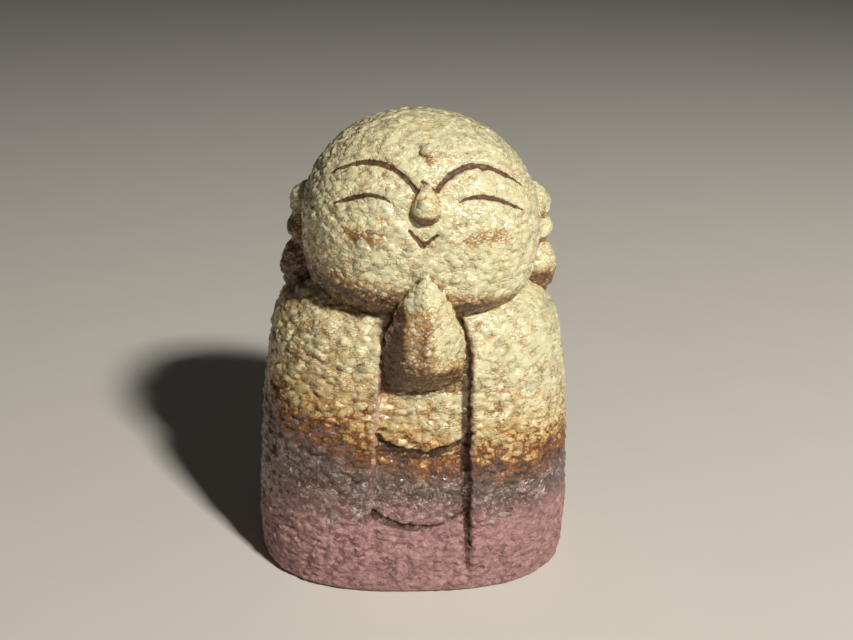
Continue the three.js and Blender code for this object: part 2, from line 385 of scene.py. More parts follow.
def body_half(sizes, z):
    """Half width, half depth and plan squareness of the body at a height."""
    taper = (z / TAPER_HEIGHT) ** 2
    up = held((z - SHOULDER_START) / (SHOULDER_TOP - SHOULDER_START))
    shoulder = (1.0 - up ** SHOULDER_SQUARENESS) ** (1.0 / SHOULDER_SQUARENESS)
    low = held(1.0 - z / FOOT_ROUND)
    tuck = held(1.0 - z / FOOT_TUCK_HEIGHT) ** 2
    foot = FOOT_ROUND * (1.0 - np.sqrt(1.0 - low * low)) + FOOT_TUCK * tuck
    width = (sizes.foot_half_width / MM - WIDTH_TAPER * taper) * shoulder - foot * (shoulder > 0)
    depth = (sizes.foot_half_depth / MM - DEPTH_TAPER * taper) * shoulder - foot * (shoulder > 0)
    share = np.minimum(1.0, z / SHOULDER_START)
    return width, depth, mix(FOOT_PLAN_SQUARENESS, SHOULDER_PLAN_SQUARENESS, share)


def opening_at(z):
    """Middle and half width of the robe's opening at a height."""
    down = np.maximum(0.0, (OPENING_WAIST - z) / OPENING_WAIST)
    up = np.maximum(0.0, (z - OPENING_WAIST) / (OPENING_TOP - OPENING_WAIST))
    middle = OPENING_DRIFT * np.minimum(1.0, z / OPENING_WAIST)
    half = OPENING_HALF_WIDTH * (1.0 - (1.0 - OPENING_NECK_SHARE) * up * up) + OPENING_SPREAD * down
    return middle, half


def opening_place(x, z):
    """How far inside the robe's opening each point lies, and how far across it, from -1 to 1."""
    middle, half = opening_at(z)
    return half - np.abs(x - middle), np.clip((x - middle) / half, -1.0, 1.0)


def cloth_recess(across, z):
    """How far the tiered cloth lies behind the body's outer face."""
    recess = np.zeros_like(z)
    top = np.full_like(z, OPENING_TOP)
    for number, tier in enumerate(TIERS):
        hem = tier["hem"] + tier["rise"] * across * across
        down = held((top - z) / (top - hem))
        here = mix(tier["recess_hem"], tier["recess_top"], (1.0 - down) ** CLOTH_SAG)
        below = smooth_step(HEM_HALF_STEP, -HEM_HALF_STEP, z - top) if number else 1.0
        recess = mix(recess, here, below)
        top = hem
    return recess * smooth_step(OPENING_BOTTOM - CLOTH_SILL, OPENING_BOTTOM, z)


def soft_least(a, b, soft):
    """The smaller of two lengths, with the corner between them rounded."""
    share = held(0.5 + 0.5 * (b - a) / soft)
    return mix(b, a, share) - soft * share * (1.0 - share)


def add_body(sizes):
    """The body, shaped from a ball, with the robe's opening and its tiers."""
    body, unit = add_ball("body_form", 176, 92, 2)
    turn = np.arctan2(unit[:, 1], unit[:, 0])
    rise = np.arccos(np.clip(-unit[:, 2], -1.0, 1.0)) / math.pi
    sole, heel, waist = 0.12, 0.15, 0.78
    z = np.interp(rise, (0.0, heel, waist), (0.0, FOOT_ROUND, SHOULDER_START))
    z = np.where(rise < sole, 0.0, z)
    bend = held((rise - sole) / (heel - sole)) * math.pi / 2
    z = np.where((rise >= sole) & (rise < heel), FOOT_ROUND * (1.0 - np.cos(bend)), z)
    climb = held((rise - waist) / (1.0 - waist)) * math.pi / 2
    z = np.where(rise >= waist, SHOULDER_START + (SHOULDER_TOP - SHOULDER_START) * np.sin(climb), z)
    width, depth, square = body_half(sizes, z)
    width = np.maximum(width, 0.01)
    depth = np.maximum(depth, 0.01)
    across = np.abs(np.cos(turn)) / width
    along = np.abs(np.sin(turn)) / depth
    reach = (across ** square + along ** square) ** (-1.0 / square)
    reach = reach * np.minimum(1.0, rise / sole)
    x = reach * np.cos(turn)
    y = reach * np.sin(turn)
    inside, across = opening_place(x, z)
    wall = np.logaddexp(0.0, WALL_SHARPNESS * inside) / WALL_SHARPNESS / OPENING_EDGE_SLOPE
    cut = soft_least(cloth_recess(across, z), wall, CUT_ROUNDING)
    y = y + np.where((y < 0) & (rise > sole), np.maximum(cut, 0.0), 0.0)
    move_points(body, np.column_stack((x, y, z)))
    return body


# Head, ears and hands.

def head_half(rise):
    """Height and squareness of the head's lower or upper half, by the height above its middle."""
    low = rise < 0
    return np.where(low, JAW_DEPTH, CROWN_HEIGHT), np.where(low, JAW_SQUARENESS, CROWN_SQUARENESS)


def crown_lean(rise):
    return CROWN_LEAN * (np.maximum(0.0, rise) / CROWN_HEIGHT) ** 2


def head_points(sizes, unit):
    """Points on the head's surface in these directions from its middle."""
    half_width = sizes.head_half_width / MM
    half_depth = sizes.head_half_depth / MM
    height, square = head_half(unit[:, 2])
    across = np.abs(unit[:, 0] / half_width) ** HEAD_PLAN_SQUARENESS
    along = np.abs(unit[:, 1] / half_depth) ** HEAD_PLAN_SQUARENESS
    plan = (across + along) ** (1.0 / HEAD_PLAN_SQUARENESS)
    total = plan ** square + np.abs(unit[:, 2] / height) ** square
    points = unit * (total ** (-1.0 / square))[:, None]
    points[:, 0] += crown_lean(points[:, 2])
    return points + np.array(HEAD_MIDDLE)


def face_points(sizes, x, z, lift=0.0):
    """Points on the front of the head at these places, pushed out by lift."""
    x = np.asarray(x, dtype=float)
    z = np.asarray(z, dtype=float)
    rise = z - HEAD_MIDDLE[2]
    height, square = head_half(rise)
    ring = np.maximum(0.0, 1.0 - np.abs(rise / height) ** square) ** (1.0 / square)
    across = np.abs((x - HEAD_MIDDLE[0] - crown_lean(rise)) / (sizes.head_half_width / MM))
    left = ring ** HEAD_PLAN_SQUARENESS - across ** HEAD_PLAN_SQUARENESS
    reach = np.maximum(0.0, left) ** (1.0 / HEAD_PLAN_SQUARENESS)
    points = np.column_stack((x, HEAD_MIDDLE[1] - sizes.head_half_depth / MM * reach, z))
    out = points - np.array(HEAD_MIDDLE)
    out /= np.linalg.norm(out, axis=1)[:, None]
    return points + out * np.asarray(lift, dtype=float).reshape(-1, 1)


def add_head(sizes):
    head, unit = add_ball("head_form", 112, 72, 1)
    move_points(head, head_points(sizes, unit))
    return head


def add_nose(sizes):
    nose, unit = add_ball("nose_form", 64, 40)
    x, z, half_width, half_height, height = NOSE
    narrow = 1.0 - NOSE_NARROWING * unit[:, 2]
    move_points(nose, face_points(
        sizes, x + half_width * unit[:, 0] * narrow, z + half_height * unit[:, 2],
        lift=-height * unit[:, 1] * narrow,
    ))
    return nose


def add_brow_spot(sizes):
    spot, unit = add_ball("brow_spot_form", 32, 20)
    x, z, radius = BROW_SPOT
    move_points(spot, face_points(sizes, [x], [z]) + unit * radius)
    return spot


def add_ear(side):
    """One ear's lobes, as separate balls that the clay later runs together."""
    lobes = []
    for number, (x, y, z, half_width, half_depth, half_height) in enumerate(EAR_LOBES):
        lobe, unit = add_ball(f"ear_lobe_{number}", 64, 40)
        middle = np.array((EARS_MIDDLE + side * x, y, z))
        move_points(lobe, middle + unit * np.array((half_width, half_depth, half_height)))
        lobes.append(lobe)
    return lobes


def add_hands():
    """Both hands as one drop, with a keel in front and a square heel."""
    hands, unit = add_ball("hands_form", 80, 60, 1)
    up = (unit[:, 2] + 1.0) / 2.0
    ring = np.sqrt(np.maximum(1e-9, 1.0 - unit[:, 2] ** 2))
    taper = (1.0 - held(up) ** HANDS_FULLNESS) ** HANDS_POINT
    low = held(1.0 - up / HANDS_HEEL)
    heel = (1.0 - low ** HANDS_HEEL_SQUARENESS) ** (1.0 / HANDS_HEEL_SQUARENESS)
    across = unit[:, 0] / ring
    along = unit[:, 1] / ring
    power = np.where(along < 0, 2.0 / HANDS_KEEL, 1.0)
    x = HANDS_HALF_WIDTH * taper * heel * signed_power(across, power)
    bevel = 1.0 - HANDS_BEVEL_DEPTH * held(1.0 - up / HANDS_BEVEL)
    reach = HANDS_HALF_DEPTH * taper * heel * np.where(along < 0, bevel, 1.0)
    y = HANDS_Y - HANDS_LEAN * up + reach * signed_power(along, power)
    z = HANDS_BOTTOM + (HANDS_TIP - HANDS_BOTTOM) * up + HANDS_HEEL_RISE * x * (1.0 - up)
    move_points(hands, np.column_stack((HANDS_X + x, y, z)))
    return hands


# Carved lines of the face.

def arch_line(sizes, line, count=25):
    """Points of an arched line on the face: a closed eye or a brow, steeper beside the nose."""
    inner_x, inner_z, outer_x, outer_z, rise = line
    t = np.linspace(0.0, 1.0, count)
    bow = np.sin(math.pi * t ** 0.85) ** 0.9
    return face_points(sizes, mix(inner_x, outer_x, t), mix(inner_z, outer_z, t) + rise * bow)


def straight_line(sizes, stops, count=9):
    """Points of a line on the face through these places."""
    stops = np.array(stops)
    t = np.linspace(0.0, len(stops) - 1.0, count)
    steps = np.arange(len(stops))
    return face_points(sizes, np.interp(t, steps, stops[:, 0]), np.interp(t, steps, stops[:, 1]))


def distance_to_line(points, line):
    """Each point's distance to a line of points, and how far along it that is, from 0 to 1."""
    nearest = np.full(len(points), 1e9)
    place = np.zeros(len(points))
    spans = len(line) - 1
    for number in range(spans):
        start, end = line[number], line[number + 1]
        along = end - start
        share = held((points - start) @ along / (along @ along))
        away = np.linalg.norm(points - start - share[:, None] * along, axis=1)
        closer = away < nearest
        nearest = np.where(closer, away, nearest)
        place = np.where(closer, (number + share) / spans, place)
    return nearest, place


def carve_line(points, normals, marks, line, depth, half_width, taper):
    """Presses a groove along a line, and marks it in the line's colour."""
    middle = line.mean(axis=0)
    reach = np.linalg.norm(line - middle, axis=1).max() + INK_SOFTNESS
    close = (np.abs(points - middle) < reach).all(axis=1)
    near = np.flatnonzero(close & (points[:, 1] < HEAD_MIDDLE[1]))
    away, place = distance_to_line(points[near], line)
    width = half_width * taper(place)
    press = held(1.0 - away / width)
    press = press * (1.6 - 0.6 * press)
    points[near] -= normals[near] * (depth * taper(place) * press)[:, None]
    inked = held(0.5 + (INK_SHARE * width - away) / INK_SOFTNESS)
    marks[near] = np.maximum(marks[near], inked)


def pointed(place):
    """Full in the middle of a line and fine at both ends."""
    return 0.35 + 0.65 * np.sin(math.pi * held(place)) ** 0.7


def brushed(place):
    """Full from the nose on, and fine at the outer end."""
    fine = 0.62 * held((place - 0.6) / 0.4)
    return mix(0.72, 1.0, held(place * 3.0)) * (1.0 - fine)


def wedged(place):
    """Fine at a corner of the mouth and full in its middle."""
    return mix(0.45, 1.0, held(place * 1.3))


def even(place):
    return np.ones_like(place)


def carve_face(sizes, points, normals):
    """Carves brows, eyes and mouth, and returns how much each point belongs to a line."""
    marks = np.zeros(len(points))
    brow = sizes.brow_depth / MM
    eye = sizes.eye_depth / MM
    for line in BROWS:
        carve_line(points, normals, marks, arch_line(sizes, line), brow, BROW_HALF_WIDTH, brushed)
    for line in EYES:
        carve_line(points, normals, marks, arch_line(sizes, line), eye, EYE_HALF_WIDTH, pointed)
    for stops, (share, half_width), taper in (
        (BROW_LINK, BROW_LINK_CUT, even),
        (MOUTH_LEFT, MOUTH_LEFT_CUT, wedged),
        (MOUTH_RIGHT, MOUTH_RIGHT_CUT, wedged),
    ):
        line = straight_line(sizes, stops)
        carve_line(points, normals, marks, line, eye * share, half_width, taper)
    return marks


# Pressed marks of the clay.

def hashed(cells, salt):
    """Repeatable numbers from 0 to 1, one for each whole-number cell."""
    n = cells[:, 0] * 73856093 ^ cells[:, 1] * 19349663 ^ cells[:, 2] * 83492791 ^ salt * 2654435761
    n &= 0xFFFFFFFF
    n = ((n ^ (n >> 15)) * 2246822519) & 0xFFFFFFFF
    n = ((n ^ (n >> 13)) * 3266489917) & 0xFFFFFFFF
    return ((n ^ (n >> 16)) & 0xFFFFFF) / float(0xFFFFFF)


def cloud(points, size, salt):
    """Soft random field from -1 to 1, whose lumps are about this size."""
    scaled = points / size
    base = np.floor(scaled)
    part = scaled - base
    part = part * part * (3.0 - 2.0 * part)
    base = base.astype(np.int64)
    total = np.zeros(len(points))
    for corner in np.ndindex(2, 2, 2):
        weight = np.ones(len(points))
        for axis in range(3):
            weight *= part[:, axis] if corner[axis] else 1.0 - part[:, axis]
        total += weight * hashed(base + np.array(corner), salt)
    return total * 2.0 - 1.0


def drifted(points, size, amount, salt):
    """The same points pushed about softly, so that a pattern read there loses its evenness."""
    push = np.column_stack([cloud(points, size, salt + axis) for axis in range(3)])
    return points + amount * push


def facets(points, cell, salt, uneven):
    """Height of clay pressed into facets about as big as cell, and a gap that is 0 in creases."""
    scaled = points / np.array(cell)
    base = np.floor(scaled).astype(np.int64)
    best = np.full(len(points), -9.0)
    second = best.copy()
    for step in np.ndindex(3, 3, 3):
        corner = base + (np.array(step) - 1)
        height = uneven * hashed(corner, salt)
        far = np.zeros(len(points))
        for axis in range(3):
            away = scaled[:, axis] - corner[:, axis] - 0.05 - 0.9 * hashed(corner, salt + 1 + axis)
            height += away * (hashed(corner, salt + 5 + axis) * 2.0 - 1.0)
            far += away * away
        height -= FACET_STEEPNESS * far ** FACET_FLATNESS
        second = np.maximum(second, np.minimum(best, height))
        best = np.maximum(best, height)
    return best, best - second


def press_clay(sizes, points, normals, marks):
    """Presses the clay's marks into the figure and returns how deep in a crease a point lies."""
    x, y, z = points.T
    wide = sizes.pebble_width / MM
    tall = sizes.pebble_height / MM
    depth = sizes.pebble_depth / MM
    bent = drifted(points, size=9.0, amount=1.5, salt=11)
    bent = drifted(bent, size=2.6, amount=0.6, salt=15)
    robe, robe_gap = facets(bent, (wide, wide, tall), salt=21, uneven=0.5)
    skin_cell = (wide * SKIN_MARK_WIDTH, wide * SKIN_MARK_WIDTH, tall * SKIN_MARK_HEIGHT)
    bent = drifted(points, size=3.0, amount=0.8, salt=35)
    skin, skin_gap = facets(bent, skin_cell, salt=41, uneven=0.4)
    swell = cloud(points, size=5.5, salt=81)
    rough = cloud(points, size=0.9, salt=91)
    face = smooth_step(122.0, 140.0, z) * smooth_step(12.0, -14.0, y)
    head = smooth_step(128.0, 142.0, z)
    nose = np.exp(-((x - NOSE[0]) / 8.0) ** 2 - ((z - NOSE[1] + 2.0) / 9.0) ** 2) * (y < -40)
    low_part = smooth_step(58.0, 36.0, z)
    hands = hands_at(x, y, z)
    quiet = 0.42 * smooth_step(82.0, 112.0, z) * smooth_step(-20.0, 30.0, x)
    robe_share = mix(mix(1.0, 0.26, low_part) - quiet, 0.30, np.maximum(head, hands))
    skin_share = mix(mix(0.30, 0.62, low_part), 0.62, np.maximum(face, 0.5 * hands))
    height = depth * (robe - FACET_LEVEL) * robe_share
    height += depth * (skin - FACET_LEVEL) * skin_share
    height += depth * (swell * 0.20 + rough * 0.06)
    keep = smooth_step(0.3, 3.0, z) * (1.0 - 0.75 * nose) * (1.0 - 0.5 * marks)
    flat = points + normals * (height * keep)[:, None]
    thinned = cloud(points, size=4.5, salt=77) + 0.3 * cloud(points, size=14.0, salt=78)
    sparse = smooth_step(-0.15, 0.5, thinned)
    lines = np.exp(-robe_gap / CREASE_WIDTH) * sparse * mix(1.0, 0.45, head)
    lines = lines + 0.2 * np.exp(-skin_gap / CREASE_WIDTH)
    low = smooth_step(0.1, -0.6, height / depth + 0.2 * cloud(points, size=3.0, salt=71))
    points[:] = flat
    return held(0.85 * lines + 0.4 * low)


# The marks of the glaze, and the whole figure.

def hollows(figure, points, normals, rounds):
    """How far, in millimetres, the clay around each point stands above it: less than 0 on edges."""
    pick(figure)
    bpy.ops.object.duplicate()
    worn = bpy.context.object
    apply_modifier(worn, "SMOOTH", {"factor": 1.0, "iterations": rounds})
    lift = ((points_of(worn) - points) * normals).sum(axis=1)
    pick(worn)
    bpy.ops.object.delete()
    return lift


def hands_at(x, y, z):
    """Whether each point belongs to the hands."""
    up = held((z - HANDS_BOTTOM) / (HANDS_TIP - HANDS_BOTTOM))
    reach = HANDS_HALF_WIDTH * (1.0 - up ** HANDS_FULLNESS) ** HANDS_POINT + 1.0
    proud = y < HANDS_Y - HANDS_LEAN * up - 0.5
    return proud & (np.abs(x - HANDS_X) < reach) & (z > HANDS_BOTTOM - 1.0) & (z < HANDS_TIP + 1.5)


def ears_at(x, y, z):
    """Whether each point belongs to an ear."""
    out = np.abs(x - EARS_MIDDLE)
    inside = np.zeros(len(x), dtype=bool)
    for lobe in EAR_LOBES:
        away = [(place - lobe[axis]) / lobe[axis + 3] for axis, place in enumerate((out, y, z))]
        inside |= away[0] ** 2 + away[1] ** 2 + away[2] ** 2 < 1.2
    return inside & (out > 42.0)


def ear_brown_and_shade(points):
    """Brown and painted shade in the notches of the ears, brown below them, and painted shade low
    on the ear on the -X side, away from the key light.
    """
    x, _, z = points.T
    uneven = z + 1.6 * cloud(points, size=3.5, salt=61)
    brown_and_shade = smooth_step(EAR_FOOT + 3.0, EAR_FOOT - 2.0, uneven)
    for notch, tall in EAR_NOTCHES:
        brown_and_shade = np.maximum(brown_and_shade, 0.85 * np.exp(-((uneven - notch) / tall) ** 2))
    # Painted shade over the lower ear on the -X side.
    return np.where(x < 0, np.maximum(brown_and_shade, 0.9 * smooth_step(156.0, 151.0, z)), brown_and_shade)


def hands_brown_and_shade(points, normals):
    """Brown on the hands low down and along their keel, and painted shade on their side away from
    the key light and beneath them.
    """
    x, _, z = points.T
    across = x - HANDS_X
    low_part = 0.85 * smooth_step(122.0, 106.0, z + 0.45 * across)
    keel = 0.82 * np.exp(-((across + 0.5) / 4.4) ** 2) * smooth_step(142.0, 126.0, z)
    # Painted shade on the -X side, away from the key light.
    painted_shade_left_side = 1.35 * smooth_step(-3.0, -11.0, across) * smooth_step(142.0, 130.0, z)
    # Painted shade beneath, where the hands face down.
    under = smooth_step(0.1, -0.4, normals[:, 2])
    return np.maximum(np.maximum(low_part, keel), np.maximum(painted_shade_left_side, under))


def iron_and_shade_of(points, normals, lift):
    """Iron brown and painted shade at each point, from 0 to 1.4: brown in hollows, on the brow spot
    and cheeks, brown and painted shade under the jaw, on the hands and on the ears, and painted
    shade under the nose.
    """
    x, y, z = points.T
    in_front = smooth_step(40.0, 32.0, np.abs(x))
    iron_and_shade = smooth_step(0.10, 0.6, lift) * mix(0.4, 0.95, in_front)
    # Brown and painted shade under the jaw, on faces that look down, reaching further on the -X
    # side away from the key light.
    jaw = smooth_step(-0.06, -0.46, normals[:, 2] + 0.0045 * x) * (z > 112) * (z < 160)
    iron_and_shade = np.maximum(iron_and_shade, jaw)
    # Painted shade under the nose where it looks down; brown and painted shade on the hands and
    # ears.
    nose = (np.abs(x) < 8) & (y < -48) & (z > 164) & (z < 174)
    for part, brown in (
        (hands_at(x, y, z), hands_brown_and_shade(points, normals)),
        (nose, smooth_step(0.25, -0.5, normals[:, 2])),
        (ears_at(x, y, z), ear_brown_and_shade(points)),
    ):
        iron_and_shade = np.where(part, np.maximum(iron_and_shade, brown), iron_and_shade)
    spot = np.exp(-((x - BROW_SPOT[0] - 1.0) / 2.6) ** 2 - ((z - BROW_SPOT[1] + 1.9) / 1.9) ** 2)
    iron_and_shade = np.maximum(iron_and_shade, 0.95 * spot * (y < -30))
    for cheek_x, cheek_z, strength in CHEEKS:
        away = ((x - cheek_x) / CHEEK_BLUSH[0]) ** 2 + ((z - cheek_z) / CHEEK_BLUSH[1]) ** 2
        iron_and_shade = np.maximum(iron_and_shade, strength * np.exp(-away) * (y < -20))
    return np.clip(iron_and_shade, 0.0, 1.4)


def shade_of(points):
    """Painted shade by the opening's right edge and under the hems, from 0 to 1."""
    x, y, z = points.T
    inside, across = opening_place(x, z)
    front = (y < 0) & (z > OPENING_BOTTOM) & (z < OPENING_TOP - 6.0)
    # Painted shadow that the robe's right edge casts into the opening.
    reach = mix(3.2, 5.4, smooth_step(12.0, 60.0, z)) - 3.4 * smooth_step(100.0, 124.0, z)
    shade = smooth_step(0.1, 0.8, inside) * smooth_step(reach, reach - 1.6, inside) * (across > 0)
    # Painted shadow under the first two hems, widest towards -X.
    for tier in TIERS[:2]:
        under = tier["hem"] + tier["rise"] * across ** 2 - z
        low_end = tier["shade"] - 2.4 * across
        high_end = 0.62 * tier["shade"] - 1.4 * across
        crescent = smooth_step(-0.4, 0.4, under) * smooth_step(low_end, high_end, under)
        shade = np.maximum(shade, 0.9 * crescent * (inside > 0.5))
    return shade * front * smooth_step(OPENING_BOTTOM, OPENING_BOTTOM + 8.0, z)


def rim_of(points):
    """How near each point lies to an edge of the robe's opening or to a hem, from 0 to 1."""
    x, y, z = points.T
    inside, across = opening_place(x, z)
    front = (y < 0) & (z > OPENING_BOTTOM - 1.0) & (z < OPENING_TOP - 8.0)
    rim = np.exp(-((inside - 0.4) / 1.3) ** 2)
    for tier in TIERS[:2]:
        hem = tier["hem"] + tier["rise"] * across ** 2
        rim = np.maximum(rim, 0.5 * np.exp(-((z - hem - 0.6) / 0.9) ** 2) * (inside > 0))
    return rim * front


def skin_of(points):
    """1 on the head, its ears and the hands, 0 on the robe, with a soft change at the neck."""
    x, y, z = points.T
    wide, deep, tall = SKIN_SPACE
    rise = z - HEAD_MIDDLE[2]
    reach = np.sqrt((x / wide) ** 2 + ((y - HEAD_MIDDLE[1]) / deep) ** 2 + (rise / tall) ** 2)
    return np.maximum(smooth_step(1.12, 1.04, reach), hands_at(x, y, z))


def model_figure(sizes):
    """Builds the whole figure as one closed skin of pressed clay."""
    forms = [add_body(sizes), add_head(sizes), add_hands(), add_nose(sizes), add_brow_spot(sizes)]
    forms += add_ear(1) + add_ear(-1)
    pick(*forms)
    bpy.ops.object.join()
    figure = bpy.context.object
    figure.name = figure.data.name = "glazed_figure"
    apply_modifier(figure, "REMESH", {"mode": "VOXEL", "voxel_size": sizes.clay_grain})
    apply_modifier(figure, "SMOOTH", {"factor": 0.5, "iterations": 2})
    points = points_of(figure)
    normals = normals_of(figure)
    lift = hollows(figure, points, normals, rounds=40)
    iron_and_shade = iron_and_shade_of(points, normals, lift)
    shade = shade_of(points)
    marks = carve_face(sizes, points, normals)
    move_points(figure, points)
    smooth_normals = normals_of(figure)
    crease = press_clay(sizes, points, smooth_normals, marks)
    move_points(figure, points)
    # Facets that the pressed marks tilt to face down get painted shade in the crease field, on top
    # of the brown of the glaze in the creases.
    overhang = smooth_normals[:, 2] - normals_of(figure)[:, 2]
    crease = crease * (0.45 + 0.9 * smooth_step(-0.1, 0.35, overhang))
    fields = {
        "crease": held(crease + 0.25 * smooth_step(0.2, 0.6, overhang)),
        "iron_and_shade": iron_and_shade,
        "edge": smooth_step(-0.25, -0.8, lift) * 0.6,
        "shade": shade,
        "rim": rim_of(points),
        "skin": skin_of(points),
        "carved": marks,
    }
    for name, values in fields.items():
        layer = figure.data.attributes.new(name, "FLOAT", "POINT")
        layer.data.foreach_set("value", np.ascontiguousarray(values, dtype=np.float32))
    figure.data.calc_loop_triangles()
    ratio = sizes.faces / len(figure.data.loop_triangles)
    apply_modifier(figure, "DECIMATE", {"ratio": min(1.0, ratio)})
    bpy.ops.object.shade_smooth()
    return figure


# Finishes.

class Number:
    """A socket that carries one number, so that shader maths reads as an expression."""

    def __init__(self, glaze, socket):
        self.glaze = glaze
        self.socket = socket

    def maths(self, operation, first, second=0.0):
        return self.glaze.number("ShaderNodeMath", {"operation": operation}, {0: first, 1: second})

    def __add__(self, other):
        return self.maths("ADD", self, other)

    __radd__ = __add__

    def __sub__(self, other):
        return self.maths("SUBTRACT", self, other)

    def __rsub__(self, other):
        return self.maths("SUBTRACT", other, self)

    def __mul__(self, other):
        return self.maths("MULTIPLY", self, other)

    __rmul__ = __mul__

    def most(self, other):
        return self.maths("MAXIMUM", self, other)

    def size(self):
        return self.maths("ABSOLUTE", self)

    def between(self, low, high):
        """0 at low, 1 at high, and a soft rise between them. High may be below low."""
        return self.glaze.number(
            "ShaderNodeMapRange", {"interpolation_type": "SMOOTHSTEP"},
            {"Value": self, "From Min": low, "From Max": high},
        )


class Finish:
    """One material and the nodes that make it."""

    def __init__(self, name):
        self.material = bpy.data.materials.new(name)
        self.material.use_nodes = True
        self.tree = self.material.node_tree
        self.tree.nodes.clear()

    def add(self, kind, settings=None, sockets=None):
        """Adds a node: its settings first, then the values or links of its sockets."""
        node = self.tree.nodes.new(kind)
        for name, value in (settings or {}).items():
            setattr(node, name, value)
        for name, value in (sockets or {}).items():
            source = getattr(value, "socket", value)
            if isinstance(source, bpy.types.NodeSocket):
                self.tree.links.new(source, node.inputs[name])
            else:
                node.inputs[name].default_value = source
        return node

    def number(self, kind, settings=None, sockets=None, output=0):
        return Number(self, self.add(kind, settings, sockets).outputs[output])

    def attribute(self, name):
        return self.number("ShaderNodeAttribute", {"attribute_name": name}, output="Fac")

    def ramp(self, share, stops):
        """Colours laid out along a number from 0 to 1."""
        node = self.add("ShaderNodeValToRGB", sockets={"Fac": share})
        elements = node.color_ramp.elements
        while len(elements) < len(stops):
            elements.new(0.5)
        for element, (place, colour) in zip(elements, stops):
            element.position = place
            element.color = (*colour, 1.0)
        return node.outputs["Color"]

    def grain(self, place, name):
        """Cloudy noise from 0 to 1."""
        scale, detail, roughness = GRAINS[name]
        return self.number("ShaderNodeTexNoise", sockets={
            "Vector": place, "Scale": scale, "Detail": detail, "Roughness": roughness,
        })

    def cells(self, place, scale, wander):
        """Cells of pressed clay, wider than tall, so many to the metre, pushed about by wander.

        Gives how far inside its cell a point lies, the cell's own random number, and how high
        its tilted face stands there, in metres.
        """
        push = self.add("ShaderNodeTexNoise", sockets={
            "Vector": place, "Scale": scale * 1.1, "Detail": 2.0,
        }).outputs["Color"]
        push = self.vector("SUBTRACT", push, (0.5, 0.5, 0.5))
        push = self.vector("MULTIPLY", push, (wander, wander, wander))
        moved = self.vector("MULTIPLY", self.vector("ADD", place, push), (1.0, 1.0, 1.4))
        spread = {"Vector": moved, "Scale": scale}
        rim = self.number("ShaderNodeTexVoronoi", {"feature": "DISTANCE_TO_EDGE"}, spread)
        cell = self.add("ShaderNodeTexVoronoi", {"feature": "F1"}, spread)
        away = self.vector("SUBTRACT", moved, cell.outputs["Position"])
        lean = self.vector("SUBTRACT", cell.outputs["Color"], (0.5, 0.5, 0.5))
        tilt = self.vector("DOT_PRODUCT", away, lean, output="Value")
        own = self.number("ShaderNodeSeparateXYZ", sockets={"Vector": cell.outputs["Color"]})
        return rim, own, Number(self, tilt)

    def vector(self, operation, first, second, output=0):
        node = self.add("ShaderNodeVectorMath", {"operation": operation}, {0: first, 1: second})
        return node.outputs[output]

    def blend(self, share, first, second):
        """Mixes two colours."""
        node = self.add(
            "ShaderNodeMix", {"data_type": "RGBA"},
            {0: share, 6: self.colour(first), 7: self.colour(second)},
        )
        return node.outputs[2]

    @staticmethod
    def colour(value):
        return value if isinstance(value, bpy.types.NodeSocket) else (*value, 1.0)

    def surface(self, sockets):
        """Gives the material its surface, and returns it."""
        shader = self.add("ShaderNodeBsdfPrincipled", sockets=sockets)
        self.add("ShaderNodeOutputMaterial", sockets={"Surface": shader.outputs[0]})
        return self.material


def glaze_mark(fields, name):
    """How strongly a mark of the glaze shows, from the weighed sum of its fields."""
    limits, weights = GLAZE_MARKS[name]
    return sum(fields[field] * weight for field, weight in weights.items()).between(*limits)


